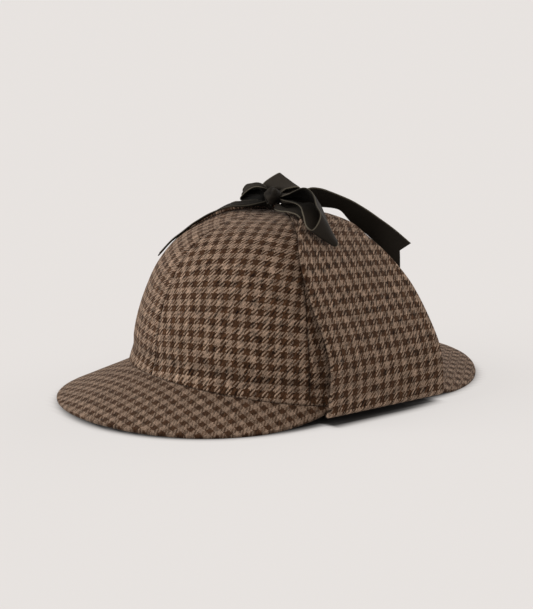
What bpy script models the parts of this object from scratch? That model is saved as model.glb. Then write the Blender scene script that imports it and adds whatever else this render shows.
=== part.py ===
"""A deerstalker hat: six crown panels, two peaks, two turned-up ear flaps and a tape bow.

The front of the hat faces -Y, the wearer's left is +X, and the hat stands on z = 0.
Sizes and points are in millimetres until a mesh is made, in metres.
"""
import math

import bmesh
import bpy
from mathutils import Vector

MM = 0.001
MIDDLE = Vector((0.0, -8.34, 0.0))  # the hat's outline seen from above is centred here, from the head's axis

# Crown: an oval hem and a high rounded dome of six panels
HEM_HALF_WIDTH = 91.0
HEM_HALF_LENGTH = 94.5
HEM_HEIGHT = 8.0            # top of the peaks at the ears
HEM_RISE_FRONT = 10.0       # the hem climbs towards the forehead
HEM_RISE_BACK = 2.3
CROWN_TOP = 104.2
CROWN_WALL = 2.0
CROWN_SEAT = 0.9            # crown wall stands this much above the hem line
CROWN_LEAN = math.radians(13.0)
SQUARE_FRONT = 3.35         # superellipse power of the profile over the forehead
SQUARE_BACK = 2.05
SIDE_PRESS = 0.20           # the tied flaps press the crown's sides in by this share
PRESS_TURN = math.radians(98.0)
PRESS_FROM = 0.10           # share of the crown's height where the pressing starts
PRESS_FULL = 0.72
PANEL_SEAMS = tuple(math.radians(turn) for turn in (0.0, 62.5, 120.0, 180.0, 240.0, 297.5, 360.0))
PANELS = len(PANEL_SEAMS) - 1
PANEL_FLATTENING = 0.030
PUFF_PLACE = (-20.0, -25.0)  # where the crown stands up beside the bow
PUFF_RADIUS = 15.0
PUFF_HEIGHT = 2.5
PANEL_GAP = 0.6
POLE_RADIUS = 1.6

# Peaks: stiff stitched visors, deepest in the middle
PEAK_WALL = 2.6
PEAK_MARGIN = 3.0           # how far a peak reaches in under the crown wall
FRONT_PEAK = dict(centre=0.0, span=math.radians(72.2), depth=53.0, power=1.1,
                  slope_middle=math.radians(15.0), slope_end=math.radians(37.0))
BACK_PEAK = dict(centre=math.pi, span=math.radians(69.0), depth=35.0, power=1.0,
                 slope_middle=math.radians(8.0), slope_end=math.radians(52.0))

# Ear flaps: folded up at the hem and laid over the crown's sides
FLAP_WALL = 2.6
FLAP_ROOT_HALF = 21.0       # half width where it is sewn in under the crown
FLAP_STANDOFF = 2.8         # crown surface to the middle of the flap's wall
FLAP_HEM_STANDOFF = 3.4     # the same just above the fold
FLAP_UNDER_HEIGHT = 6.2
FLAP_FOLD_RADIUS = 2.2
FLAP_FOLD_X = 92.2
FLAP_TIP_RISE = 0.71        # how far up the crown's side the tip reaches
FLAP_OUTLINE = (            # along: 0 at the fold, 1 at the tip; front and back: y of the two edges
    dict(along=0.00, front=-42.1, back=43.8, front_stand=1.0, back_stand=-0.5),
    dict(along=0.12, front=-36.5, back=47.7, front_stand=2.6, back_stand=-2.5),
    dict(along=0.30, front=-35.6, back=47.7, front_stand=4.5, back_stand=-4.5),
    dict(along=0.47, front=-34.5, back=40.2, front_stand=7.0, back_stand=-5.5),
    dict(along=0.65, front=-25.2, back=31.0, front_stand=4.6, back_stand=-5.0),
    dict(along=0.82, front=-14.1, back=27.3, front_stand=2.6, back_stand=-4.5),
    dict(along=1.00, front=-2.2, back=16.7, front_stand=1.0, back_stand=-2.5),
)

# Tape: each section gives its near and its far edge: x, y and height above the crown's top
TAPE_WALL = 1.0
NOTCH_DEPTH = 5.0
KNOT_CENTRE = (-0.5, -9.0, 10.3)
KNOT_HALF_SIZE = (4.4, 4.2, 4.8)

STRAP = (                   # wearer's left; the right one is its mirror image
    dict(near=(2.5, -10.5, 4.3), far=(2.5, -2.5, 5.4)),
    dict(near=(10.0, -12.5, 3.4), far=(9.0, 4.0, 4.2)),
    dict(near=(17.5, -13.5, 3.7), far=(17.5, 4.5, 5.0)),
    dict(near=(24.5, -14.5, 3.9), far=(25.5, 3.5, 4.8)),
    dict(near=(30.0, -15.0, 3.7), far=(32.0, 2.8, 3.4)),
    dict(near=(34.5, -15.5, 2.4), far=(37.5, 2.0, 0.8)),
)
LOOP_LEFT = (
    dict(near=(-0.5, -3.5, 10.0), far=(-2.5, 0.0, 8.6)),
    dict(near=(13.5, -8.5, 13.4), far=(9.5, 1.0, 9.1)),
    dict(near=(28.5, -8.5, 18.5), far=(23.5, 3.5, 8.4)),
    dict(near=(38.0, -9.5, 16.6), far=(35.5, 0.5, 5.0)),
    dict(near=(44.5, -11.5, 10.3), far=(46.0, -2.0, -4.3)),
    dict(near=(49.0, -12.0, 6.0), far=(53.0, -3.0, -9.9)),
    dict(near=(51.0, -15.5, 1.1), far=(55.5, -4.5, -12.3)),
    dict(near=(50.0, -19.0, -2.7), far=(54.5, -6.5, -12.8)),
    dict(near=(46.5, -21.0, -0.9), far=(51.0, -8.0, -9.4)),
    dict(near=(42.0, -19.5, 4.7), far=(38.0, -1.5, 2.9)),
    dict(near=(35.5, -16.5, 8.2), far=(27.0, -0.5, 7.9)),
    dict(near=(25.5, -14.0, 9.5), far=(17.0, 1.0, 6.7)),
    dict(near=(12.5, -10.0, 8.5), far=(7.5, 1.0, 6.2)),
    dict(near=(0.0, -4.0, 7.5), far=(-2.0, 0.0, 6.4)),
)
LOOP_RIGHT = (
    dict(near=(-8.0, -7.5, 11.7), far=(-13.5, -4.5, 13.0)),
    dict(near=(-9.0, -11.0, 13.7), far=(-21.0, -4.5, 14.8)),
    dict(near=(-13.5, -12.0, 13.9), far=(-27.5, -5.0, 14.0)),
    dict(near=(-18.5, -13.0, 11.9), far=(-32.0, -5.0, 13.1)),
    dict(near=(-23.5, -14.0, 8.2), far=(-34.5, -5.0, 11.0)),
    dict(near=(-25.5, -14.0, 6.0), far=(-35.0, -5.0, 9.5)),
    dict(near=(-22.5, -13.0, 5.8), far=(-33.0, -4.0, 10.6)),
    dict(near=(-15.5, -12.5, 6.5), far=(-28.0, -3.5, 12.2)),
    dict(near=(-10.0, -11.5, 7.0), far=(-21.5, -3.5, 13.0)),
    dict(near=(-8.0, -7.5, 7.9), far=(-13.0, -4.5, 10.7)),
)
LOOP_BACK = (
    dict(near=(-14.0, -3.5, 11.6), far=(-6.5, 2.0, 11.5)),
    dict(near=(-20.0, -2.0, 14.9), far=(-1.5, 4.0, 13.6)),
    dict(near=(-18.0, 8.0, 20.8), far=(0.5, 9.5, 14.0)),
    dict(near=(-17.5, 9.5, 18.4), far=(1.0, 10.5, 11.8)),
    dict(near=(-14.0, 5.5, 12.5), far=(-2.5, 6.5, 9.1)),
    dict(near=(-15.0, 1.5, 8.8), far=(-8.5, 2.5, 8.0)),
)
TAIL_FRONT = (
    dict(near=(-1.5, -12.0, 6.2), far=(-8.8, -12.8, 6.4)),
    dict(near=(-9.5, -21.0, 4.4), far=(-20.0, -15.8, 5.2)),
    dict(near=(-16.0, -29.0, 4.3), far=(-29.5, -20.5, 2.5)),
    dict(near=(-21.5, -37.0, 0.4), far=(-35.5, -28.5, -2.7)),
    dict(near=(-27.0, -45.5, -5.0), far=(-41.0, -36.5, -8.3)),
    dict(near=(-31.5, -52.5, -11.0), far=(-46.0, -43.5, -14.5)),
    dict(near=(-35.5, -58.5, -16.8), far=(-50.0, -50.0, -20.5)),
    dict(near=(-39.5, -64.0, -24.4), far=(-54.0, -56.0, -28.6)),
)
TAIL_BACK = (
    dict(near=(-1.5, 3.0, 6.2), far=(-8.5, 3.0, 5.8)),
    dict(near=(9.0, 8.5, 14.3), far=(-2.0, 13.0, 2.2)),
    dict(near=(16.0, 14.0, 15.1), far=(5.0, 21.0, 2.2)),
    dict(near=(22.5, 27.0, 9.4), far=(9.0, 34.0, 0.0)),
    dict(near=(25.5, 36.0, 4.6), far=(12.5, 41.0, -8.0)),
    dict(near=(28.5, 45.0, -1.4), far=(19.0, 50.0, -17.0)),
    dict(near=(35.5, 55.0, -10.4), far=(31.0, 52.5, -25.2)),
    dict(near=(42.0, 63.5, -19.6), far=(40.0, 57.0, -35.4)),
)

WOOL_COLOUR = (0.10, 0.062, 0.040, 1.0)
TAPE_COLOUR = (0.016, 0.015, 0.012, 1.0)


def mix(start, end, share):
    return start + (end - start) * share


def new_collection(name):
    collection = bpy.data.collections.new(name)
    bpy.context.scene.collection.children.link(collection)
    return collection


def make_material(name, colour, roughness):
    material = bpy.data.materials.new(name)
    material.use_nodes = True
    shader = material.node_tree.nodes["Principled BSDF"]
    shader.inputs["Base Color"].default_value = colour
    shader.inputs["Roughness"].default_value = roughness
    shader.inputs["Metallic"].default_value = 0.0
    return material


def hem_height(turn):
    """Height of the hem line; turn is measured from the front, towards the wearer's left."""
    forward = math.cos(turn)
    rise = HEM_RISE_FRONT if forward > 0 else HEM_RISE_BACK
    return HEM_HEIGHT + rise * forward ** 2


def hem_point(turn, outward=0.0):
    """A point of the oval hem line, pushed outward along the oval's own normal."""
    normal = Vector((math.sin(turn) / HEM_HALF_WIDTH, -math.cos(turn) / HEM_HALF_LENGTH, 0.0)).normalized()
    point = Vector((HEM_HALF_WIDTH * math.sin(turn), -HEM_HALF_LENGTH * math.cos(turn), hem_height(turn)))
    return point + normal * outward


def side_press(turn, height):
    """How far the flaps press the crown in at a turn from the front and a share of its height."""
    from_front = math.acos(max(-1.0, min(1.0, math.cos(turn))))
    share = max(0.0, min(1.0, (height - PRESS_FROM) / (PRESS_FULL - PRESS_FROM)))
    return SIDE_PRESS * share ** 2 * (3 - 2 * share) * max(math.cos(from_front - PRESS_TURN), 0.0) ** 6


def crown_point(turn, rise):
    """Outer face of the crown in millimetres; rise runs from 0 at the hem to 1 at the top."""
    power = mix(SQUARE_BACK, SQUARE_FRONT, 0.5 + 0.5 * math.cos(turn))
    angle = math.pi / 2 - (math.pi / 2 - CROWN_LEAN) * (1.0 - rise) ** 1.7
    start = math.sin(CROWN_LEAN) ** (2.0 / power)
    reach = (max(math.cos(angle), 0.0) / math.cos(CROWN_LEAN)) ** (2.0 / power)
    height = (math.sin(angle) ** (2.0 / power) - start) / (1.0 - start)
    reach *= 1.0 - PANEL_FLATTENING * height ** 2 * math.sin(PANELS / 2 * turn) ** 2
    reach *= 1.0 - side_press(turn, height)
    hem = hem_point(turn)
    point = Vector((hem.x * reach, hem.y * reach, mix(hem.z + CROWN_SEAT, CROWN_TOP, height)))
    point.z += PUFF_HEIGHT * math.exp(-(point.xy - Vector(PUFF_PLACE)).length_squared / PUFF_RADIUS ** 2)
    return point


def section_at(rows, along, key):
    """Smooth value of one column of a table whose rows are placed by their 'along' column."""
    index = 0
    while index < len(rows) - 2 and along > rows[index + 1]["along"]:
        index += 1

    def slope(number):
        before, after = rows[max(number - 1, 0)], rows[min(number + 1, len(rows) - 1)]
        return (after[key] - before[key]) / (after["along"] - before["along"])

    left, right = rows[index], rows[index + 1]
    length = right["along"] - left["along"]
    t = (along - left["along"]) / length
    return (left[key] * (2 * t ** 3 - 3 * t ** 2 + 1) + right[key] * (3 * t ** 2 - 2 * t ** 3)
            + length * (slope(index) * (t ** 3 - 2 * t ** 2 + t) + slope(index + 1) * (t ** 3 - t ** 2)))


def smooth_row(points, place):
    """Catmull-Rom curve through the points; place runs from 0 to len(points) - 1."""
    index = min(int(place), len(points) - 2)
    t = place - index
    p1, p2 = points[index], points[index + 1]
    p0 = points[index - 1] if index else p1 * 2 - p2
    p3 = points[index + 2] if index + 2 < len(points) else p2 * 2 - p1
    return 0.5 * (2 * p1 + (p2 - p0) * t + (2 * p0 - 5 * p1 + 4 * p2 - p3) * t ** 2
                  + (3 * p1 - p0 - 3 * p2 + p3) * t ** 3)


def shell(name, collection, material, place, across, along, wall, side):
    """A sheet with a wall: a grid whose vertices are moved by place(u, v), then thickened.

    side is 0 where the grid is the middle of the wall, and -1 where it is the outer face.
    """
    mesh = bpy.data.meshes.new(name)
    sheet = bmesh.new()
    bmesh.ops.create_grid(sheet, x_segments=across, y_segments=along, size=0.5)
    for vertex in sheet.verts:
        vertex.co = (place(vertex.co.x + 0.5, vertex.co.y + 0.5) - MIDDLE) * MM
    sheet.to_mesh(mesh)
    sheet.free()
    mesh.materials.append(material)
    piece = bpy.data.objects.new(name, mesh)
    collection.objects.link(piece)
    thicken = piece.modifiers.new("wall", 'SOLIDIFY')
    thicken.thickness = wall * MM
    thicken.offset = side
    return piece


def make_crown_panel(collection, material, number):
    """One gore of the crown, from the hem to the top, with a fine gap at its seams."""
    start, end = PANEL_SEAMS[number - 1:number + 1]

    def place(u, v):
        rise = v * 0.985
        middle = crown_point(mix(start, end, 0.5), rise)
        radius = max(math.hypot(middle.x, middle.y), POLE_RADIUS)
        trim = 0.5 * PANEL_GAP / radius
        return crown_point(mix(start + trim, end - trim, u), rise)

    return shell("crown_panel_%d" % number, collection, material, place, 8, 13, CROWN_WALL, -1)


def peak_point(peak, u, v):
    """Middle of a peak's wall: u runs -1..1 round the hem, v 0..1 from the crown to the rim."""
    turn = peak["centre"] + u * peak["span"]
    depth = peak["depth"] * max(math.cos(u * math.pi / 2), 0.0) ** peak["power"]
    slope = mix(peak["slope_middle"], peak["slope_end"], u * u)
    distance = mix(-PEAK_MARGIN, depth, v)
    out = distance * (math.cos(slope) if distance > 0 else 1.0)
    point = hem_point(turn, out)
    point.z -= PEAK_WALL / 2 + max(distance, 0.0) * math.sin(slope)
    return point


def make_peak(name, collection, material, peak, floor_cutter):
    piece = shell(name, collection, material, lambda u, v: peak_point(peak, 2 * u - 1, v),
                  30, 6, PEAK_WALL, 0)
    flat = piece.modifiers.new("flattened where it rests", 'BOOLEAN')
    flat.operation = 'DIFFERENCE'
    flat.object = floor_cutter
    return piece


def flap_path(v):
    """Section of an ear flap through its middle: x, z, the outward direction and its place along."""
    under, fold = 0.10, 0.20
    if v < under:
        return None
    if v < fold:
        angle = mix(0.0, math.radians(85.0), (v - under) / (fold - under))
        x = FLAP_FOLD_X + FLAP_FOLD_RADIUS * math.sin(angle)
        z = FLAP_UNDER_HEIGHT + FLAP_FOLD_RADIUS * (1.0 - math.cos(angle))
        return x, z, math.sin(angle), -math.cos(angle), 0.0
    along = (v - fold) / (1.0 - fold)
    rise = mix(0.004, FLAP_TIP_RISE, along)
    here = crown_point(math.pi / 2, rise)
    ahead = crown_point(math.pi / 2, rise + 0.004)
    run, climb = ahead.x - here.x, ahead.z - here.z
    length = math.hypot(run, climb)
    out_x, out_z = climb / length, -run / length
    stand = mix(FLAP_STANDOFF, FLAP_HEM_STANDOFF, max(1.0 - along / 0.2, 0.0) ** 2)
    return here.x + out_x * stand, here.z + out_z * stand, out_x, out_z, along


def flap_point(u, v):
    """Middle of the wearer's left flap's wall: u -1..1 from front to back, v 0..1 root to tip."""
    path = flap_path(v)
    if path is None:
        share = v / 0.10
        hem = FLAP_OUTLINE[0]
        y = mix(u * FLAP_ROOT_HALF, mix(hem["front"], hem["back"], 0.5 + 0.5 * u), share)
        root_x = HEM_HALF_WIDTH * math.sqrt(1.0 - (y / HEM_HALF_LENGTH) ** 2) - 2.5
        return Vector((mix(root_x, FLAP_FOLD_X, share), y, FLAP_UNDER_HEIGHT))
    x, z, out_x, out_z, along = path
    front, back, front_stand, back_stand = (
        section_at(FLAP_OUTLINE, along, key) for key in ("front", "back", "front_stand", "back_stand"))
    stand = 0.5 * (back_stand - front_stand) * u + 0.5 * (back_stand + front_stand) * u * u
    stand *= min(1.0, (v - 0.10) / 0.10)
    return Vector((x + out_x * stand, mix(front, back, 0.5 + 0.5 * u), z + max(out_z, 0.0) * stand))


def make_flap(name, collection, material, side):
    """An ear flap; side is 1 for the wearer's left and -1 for the mirrored right."""

    def place(u, v):
        point = flap_point(side * (2 * u - 1), v)
        point.x *= side
        return point

    return shell(name, collection, material, place, 12, 24, FLAP_WALL, 0)


def make_ribbon(name, collection, material, rows, steps=3, notch=False, mirror=False):
    """A length of tape through the rows of near and far edges, with a swallow-tail end."""
    side = -1.0 if mirror else 1.0

    def edge(key):
        return [Vector((side * row[key][0], row[key][1], CROWN_TOP + row[key][2])) for row in rows]

    near, far = edge("near"), edge("far")
    last = len(rows) - 1

    def place(u, v):
        along = v * last
        if notch:
            tip = (near[-1] - near[-2]).length
            along -= (1.0 - abs(2 * u - 1)) * NOTCH_DEPTH / tip * v ** 8
        return smooth_row(near, along).lerp(smooth_row(far, along), u)

    return shell(name, collection, material, place, 2, steps * last, TAPE_WALL, 0)


def make_knot(collection, material):
    mesh = bpy.data.meshes.new("bow_knot")
    ball = bmesh.new()
    bmesh.ops.create_uvsphere(ball, u_segments=14, v_segments=9, radius=1.0)
    centre = Vector((0.0, 0.0, CROWN_TOP)) + Vector(KNOT_CENTRE)
    for vertex in ball.verts:
        vertex.co = (vertex.co * Vector(KNOT_HALF_SIZE) + centre - MIDDLE) * MM
    ball.to_mesh(mesh)
    ball.free()
    mesh.materials.append(material)
    mesh.shade_smooth()
    knot = bpy.data.objects.new("bow_knot", mesh)
    collection.objects.link(knot)
    return knot


def make_floor_cutter(collection):
    """Everything under the surface that the hat stands on."""
    mesh = bpy.data.meshes.new("under_floor")
    block = bmesh.new()
    bmesh.ops.create_cube(block, size=1.0)
    for vertex in block.verts:
        vertex.co = Vector((vertex.co.x * 0.6, vertex.co.y * 0.6, (vertex.co.z - 0.5) * 0.03))
    block.to_mesh(mesh)
    block.free()
    cutter = bpy.data.objects.new("under_floor", mesh)
    collection.objects.link(cutter)
    cutter.hide_render = True
    cutter.display_type = 'WIRE'
    return cutter


def main():
    for old in list(bpy.data.objects):
        bpy.data.objects.remove(old)
    hat = new_collection("deerstalker_hat")
    cutters = new_collection("cutters")
    wool = make_material("wool", WOOL_COLOUR, 0.9)
    tape = make_material("tape", TAPE_COLOUR, 0.7)

    for number in range(1, PANELS + 1):
        make_crown_panel(hat, wool, number)
    under_floor = make_floor_cutter(cutters)
    make_peak("front_peak", hat, wool, FRONT_PEAK, under_floor)
    make_peak("back_peak", hat, wool, BACK_PEAK, under_floor)
    make_flap("ear_flap_left", hat, wool, 1)
    make_flap("ear_flap_right", hat, wool, -1)

    make_ribbon("tie_strap_left", hat, tape, STRAP)
    make_ribbon("tie_strap_right", hat, tape, STRAP, mirror=True)
    make_knot(hat, tape)
    make_ribbon("bow_loop_left", hat, tape, LOOP_LEFT)
    make_ribbon("bow_loop_right", hat, tape, LOOP_RIGHT)
    make_ribbon("bow_loop_back", hat, tape, LOOP_BACK)
    make_ribbon("bow_tail_front", hat, tape, TAIL_FRONT, notch=True)
    make_ribbon("bow_tail_back", hat, tape, TAIL_BACK, notch=True)


main()
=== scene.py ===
"""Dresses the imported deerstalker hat: woven check cloth, seams, tape bow, floor, lights and camera.

Tables and points are in millimetres from the head's axis, with the front of the hat towards -Y and the
wearer's left towards +X. Meshes are made in metres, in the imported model's frame.
"""
from collections import namedtuple
from functools import partialmethod
from itertools import accumulate
from math import acos, atan2, cos, degrees, exp, floor, hypot, pi, radians, sin, sqrt

import bmesh
import bpy
from bpy.props import FloatProperty, FloatVectorProperty, IntProperty, PointerProperty
from mathutils import Matrix, Vector, noise


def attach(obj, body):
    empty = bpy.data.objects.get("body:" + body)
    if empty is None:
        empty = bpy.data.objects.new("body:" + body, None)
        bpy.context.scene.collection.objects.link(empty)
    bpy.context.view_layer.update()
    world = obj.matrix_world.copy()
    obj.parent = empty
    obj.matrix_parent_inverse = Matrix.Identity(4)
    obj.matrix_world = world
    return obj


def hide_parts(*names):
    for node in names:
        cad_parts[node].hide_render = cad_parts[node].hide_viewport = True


bl_info = {
    "name": "Deerstalker Hat",
    "version": (1, 0, 0),
    "blender": (4, 5, 0),
    "location": "View3D > Sidebar > Hat",
    "description": "Makes the cloth, seams and tape of a deerstalker hat around its packed solids",
    "category": "Object",
}

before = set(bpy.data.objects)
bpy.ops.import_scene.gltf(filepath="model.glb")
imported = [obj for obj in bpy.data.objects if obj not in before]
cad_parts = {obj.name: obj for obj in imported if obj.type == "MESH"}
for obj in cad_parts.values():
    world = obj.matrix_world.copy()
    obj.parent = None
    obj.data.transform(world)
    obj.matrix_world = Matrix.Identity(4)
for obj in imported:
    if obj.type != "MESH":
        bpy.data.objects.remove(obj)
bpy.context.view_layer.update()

MM = 0.001
MIDDLE = Vector((0.0, -8.34, 0.0))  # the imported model's middle, from the head's axis

# Crown: an oval hem and a high rounded dome of six panels
HEM_HALF_WIDTH = 91.0
HEM_HALF_LENGTH = 94.5
HEM_HEIGHT = 8.0
HEM_RISE_FRONT = 10.0
HEM_RISE_BACK = 2.3
CROWN_TOP = 104.2
CROWN_WALL = 2.0
CROWN_SEAT = 0.9
CROWN_LEAN = radians(13.0)
CROWN_SPREAD = 1.7  # how the rise is shared out between the hem and the top
SEAT_DROP = 0.8  # how far the seam pulls the cloth's edge down onto the peak
SEAT_REACH = 0.008  # share of a panel's length over which that fades
SEAM_PRESS = 0.0006  # radians by which the sewn edges of two panels press together
SQUARE_FRONT = 3.35
SQUARE_BACK = 2.05
SIDE_PRESS = 0.20
PRESS_TURN = radians(98.0)
PRESS_FROM = 0.10  # shares of the crown's height where the press of the flaps starts and is full
PRESS_FULL = 0.72
PRESS_FOCUS = 6
PANEL_SEAMS = tuple(radians(turn) for turn in (0.0, 62.5, 120.0, 180.0, 240.0, 297.5, 360.0))
PANELS = len(PANEL_SEAMS) - 1
PANEL_FLATTENING = 0.030
PANEL_SKEWS = (4.08, -2.5, 1.5, -1.0, 3.0, -3.4)  # degrees by which the weave leans on each panel
PANEL_SIZE = (95.0, 150.0)  # width and height for which a panel's grid is laid out
PANEL_BEND = 0.92  # how fully the weave bends round with a panel, down to this radius
BEND_RADIUS = 6.0
PUFF_PLACE = (-20.0, -25.0)  # where the crown stands up beside the bow
PUFF_RADIUS = 15.0
PUFF_HEIGHT = 2.5

# Relief of the crown's cloth, and its painted shade and painted light, by the distance from a seam or above
# the hem
SEAM_RIDGE = dict(centre=2.6, width=1.6, height=0.22)
SEAM_PUCKER = dict(centre=2.5, width=2.5, height=0.6)
HEM_PUCKER = dict(centre=4.5, width=3.5)
HEM_DENT = dict(centre=11.0, width=3.5, height=-0.7)
HEM_SHADE = dict(centre=11.0, width=3.2, height=0.75)
HEM_LIGHT = dict(centre=4.0, width=2.6, height=0.18)
HEM_RADIUS = 92.0
HEM_PUCKER_GRAIN = 4.5
SEAM_PUCKER_GRAIN = 4.0
FLARE_HEIGHT = 8.0
FLARE_CURVE = 1.6
CALM_RADIUS = 12.0  # the relief fades inside this radius, where the seams meet
CLOTH_GRAIN = 34.0  # size of the soft unevenness of the cloth
PEAK_GRAIN = 26.0
FLAP_GRAIN = 30.0
PEAK_EVENNESS = 0.35  # share of the crown's unevenness on the peaks and the flaps
FLAP_EVENNESS = 0.6
CLOTH_STEP = 1.3  # distance between two grid lines of a cloth

# Peaks
PEAK_WALL = 2.6
PEAK_MARGIN = 3.0  # how far a peak reaches in under the crown
PEAK_SIZE = (110.0, 56.0)  # radius and depth for which its grid is laid out
FRONT_PEAK = dict(centre=0.0, span=radians(72.2), depth=53.0, power=1.1,
                  slope_middle=radians(15.0), slope_end=radians(37.0))
BACK_PEAK = dict(centre=pi, span=radians(69.0), depth=35.0, power=1.0,
                 slope_middle=radians(8.0), slope_end=radians(52.0))

# Ear flaps
FLAP_WALL = 2.6
FLAP_SIZE = (85.0, 150.0)  # width and length for which its grid is laid out
FLAP_ROOT_HALF = 21.0
FLAP_STANDOFF = 2.8
FLAP_HEM_STANDOFF = 3.4
FLAP_UNDER_HEIGHT = 6.2
FLAP_FOLD_RADIUS = 2.2
FLAP_FOLD_X = 92.2
FLAP_FOLD_ANGLE = radians(85.0)
FLAP_UNDER = 0.10  # shares of the flap's length at which it starts to turn up and is upright
FLAP_UPRIGHT = 0.20
FLAP_ROOT_INSET = 2.5
FLAP_HEM_REACH = 0.2
FLAP_RISE = (0.004, 0.71)  # where on the crown the upright part starts and ends
# along: 0 at the fold, 1 at the tip; front and back: y of the edges, and how far they stand off the crown
Section = namedtuple("Section", "along front back front_stand back_stand")
FLAP_OUTLINE = (
    Section(0.00, -42.1, 43.8, 1.0, -0.5),
    Section(0.12, -36.5, 47.7, 2.6, -2.5),
    Section(0.30, -35.6, 47.7, 4.5, -4.5),
    Section(0.47, -34.5, 40.2, 7.0, -5.5),
    Section(0.65, -25.2, 31.0, 4.6, -5.0),
    Section(0.82, -14.1, 27.3, 2.6, -4.5),
    Section(1.00, -2.2, 16.7, 1.0, -2.5),
)

# Tape: each row gives its near and its far edge, as x, y and height above the crown's top
Row = namedtuple("Row", "near far")
KNOT_CENTRE = (-0.5, -9.0, 10.3)
KNOT_HALF_SIZE = (4.8, 4.6, 4.9)
KNOT_GRID = (64, 40)  # faces round the knot and across it
KNOT_TAPE = (8.0, 32.0)  # half the width and the length of the tape on it
KNOT_BARREL = 3.2  # how square its outline is
KNOT_FOLD = 0.06  # depth of its folds and of its lumps, as shares of its size
KNOT_LUMP = 0.20
STRAP = (
    Row((2.5, -10.5, 4.3), (2.5, -2.5, 5.4)),
    Row((10.0, -12.5, 3.4), (9.0, 4.0, 4.2)),
    Row((17.5, -13.5, 3.7), (17.5, 4.5, 5.0)),
    Row((24.5, -14.5, 3.9), (25.5, 3.5, 4.8)),
    Row((30.0, -15.0, 3.7), (32.0, 2.8, 3.4)),
    Row((34.5, -15.5, 2.4), (37.5, 2.0, 0.8)),
)
LOOP_LEFT = (
    Row((-1.1, -4.6, 9.8), (-2.5, 0.0, 8.6)),
    Row((13.5, -8.5, 13.4), (9.5, 1.0, 9.1)),
    Row((28.5, -8.5, 18.5), (23.5, 3.5, 8.4)),
    Row((38.0, -9.5, 16.6), (35.5, 0.5, 5.0)),
    Row((44.5, -11.5, 10.3), (46.0, -2.0, -4.3)),
    Row((49.0, -12.0, 6.0), (53.0, -3.0, -9.9)),
    Row((51.0, -15.5, 1.1), (55.5, -4.5, -12.3)),
    Row((50.0, -19.0, -2.7), (54.5, -6.5, -12.8)),
    Row((46.5, -21.0, -0.9), (51.0, -8.0, -9.4)),
    Row((42.0, -19.5, 4.7), (38.0, -1.5, 2.9)),
    Row((35.5, -16.5, 8.2), (27.0, -0.5, 7.9)),
    Row((25.5, -14.0, 9.5), (17.0, 1.0, 6.7)),
    Row((12.5, -10.0, 8.5), (7.5, 1.0, 6.2)),
    Row((-0.8, -5.2, 7.6), (-2.0, 0.0, 6.4)),
)
LOOP_RIGHT = (
    Row((-8.0, -7.5, 11.7), (-13.5, -4.5, 13.0)),
    Row((-9.0, -11.0, 13.7), (-21.0, -4.5, 14.8)),
    Row((-13.5, -12.0, 13.9), (-27.5, -5.0, 14.0)),
    Row((-18.5, -13.0, 11.9), (-32.0, -5.0, 13.1)),
    Row((-23.5, -14.0, 8.2), (-34.5, -5.0, 11.0)),
    Row((-25.5, -14.0, 6.0), (-35.0, -5.0, 9.5)),
    Row((-22.5, -13.0, 5.8), (-33.0, -4.0, 10.6)),
    Row((-15.5, -12.5, 6.5), (-28.0, -3.5, 12.2)),
    Row((-10.0, -11.5, 7.0), (-21.5, -3.5, 13.0)),
    Row((-8.0, -7.5, 7.9), (-13.0, -4.5, 10.7)),
)
LOOP_BACK = (
    Row((-14.0, -3.5, 11.6), (-6.5, 2.0, 11.5)),
    Row((-20.0, -2.0, 14.9), (-1.5, 4.0, 13.6)),
    Row((-18.0, 8.0, 20.8), (0.5, 9.5, 14.0)),
    Row((-17.5, 9.5, 18.4), (1.0, 10.5, 11.8)),
    Row((-14.0, 5.5, 12.5), (-2.5, 6.5, 9.1)),
    Row((-15.0, 1.5, 8.8), (-8.5, 2.5, 8.0)),
)
TAIL_FRONT = (
    Row((-1.5, -12.0, 6.2), (-8.8, -12.8, 6.4)),
    Row((-9.5, -21.0, 3.8), (-20.0, -15.8, 5.2)),
    Row((-16.0, -29.0, 3.4), (-29.5, -20.5, 2.5)),
    Row((-21.5, -37.0, 0.4), (-35.5, -28.5, -2.7)),
    Row((-27.0, -45.5, -5.0), (-41.0, -36.5, -8.3)),
    Row((-31.5, -52.5, -11.0), (-46.0, -43.5, -14.5)),
    Row((-35.5, -58.5, -16.8), (-50.0, -50.0, -20.5)),
    Row((-39.5, -64.0, -24.4), (-54.0, -56.0, -28.6)),
)
TAIL_BACK = (
    Row((-1.5, 3.0, 6.2), (-8.5, 3.0, 5.8)),
    Row((9.0, 8.5, 14.3), (-2.0, 13.0, 2.2)),
    Row((16.0, 14.0, 15.1), (5.0, 21.0, 2.2)),
    Row((22.5, 27.0, 9.4), (9.0, 34.0, 0.0)),
    Row((25.5, 36.0, 4.6), (12.5, 41.0, -8.0)),
    Row((28.5, 45.0, -1.4), (19.0, 50.0, -17.0)),
    Row((35.5, 55.0, -10.4), (31.0, 52.5, -25.2)),
    Row((42.0, 63.5, -19.6), (40.0, 57.0, -35.4)),
)
NOTCH_DEPTH = 5.0
NOTCH_SHARPNESS = 8
PLEATS = 4
PLEAT_DEPTH = 1.7
PLEAT_REACH = 12.0  # how far from the knot the pleats fade out
GATHER_SHADE_REACH = 6.0  # and the painted shade between them
GATHER_SHADE = 0.5
POCKET = dict(centre=0.63, width=0.13)  # the end inside a loop, made lighter by painted light
EDGE_CURL = 0.35
TAPE_RIPPLE = 0.25
TAPE_GRAIN = 9.0
RUN_SAMPLES = 60
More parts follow.
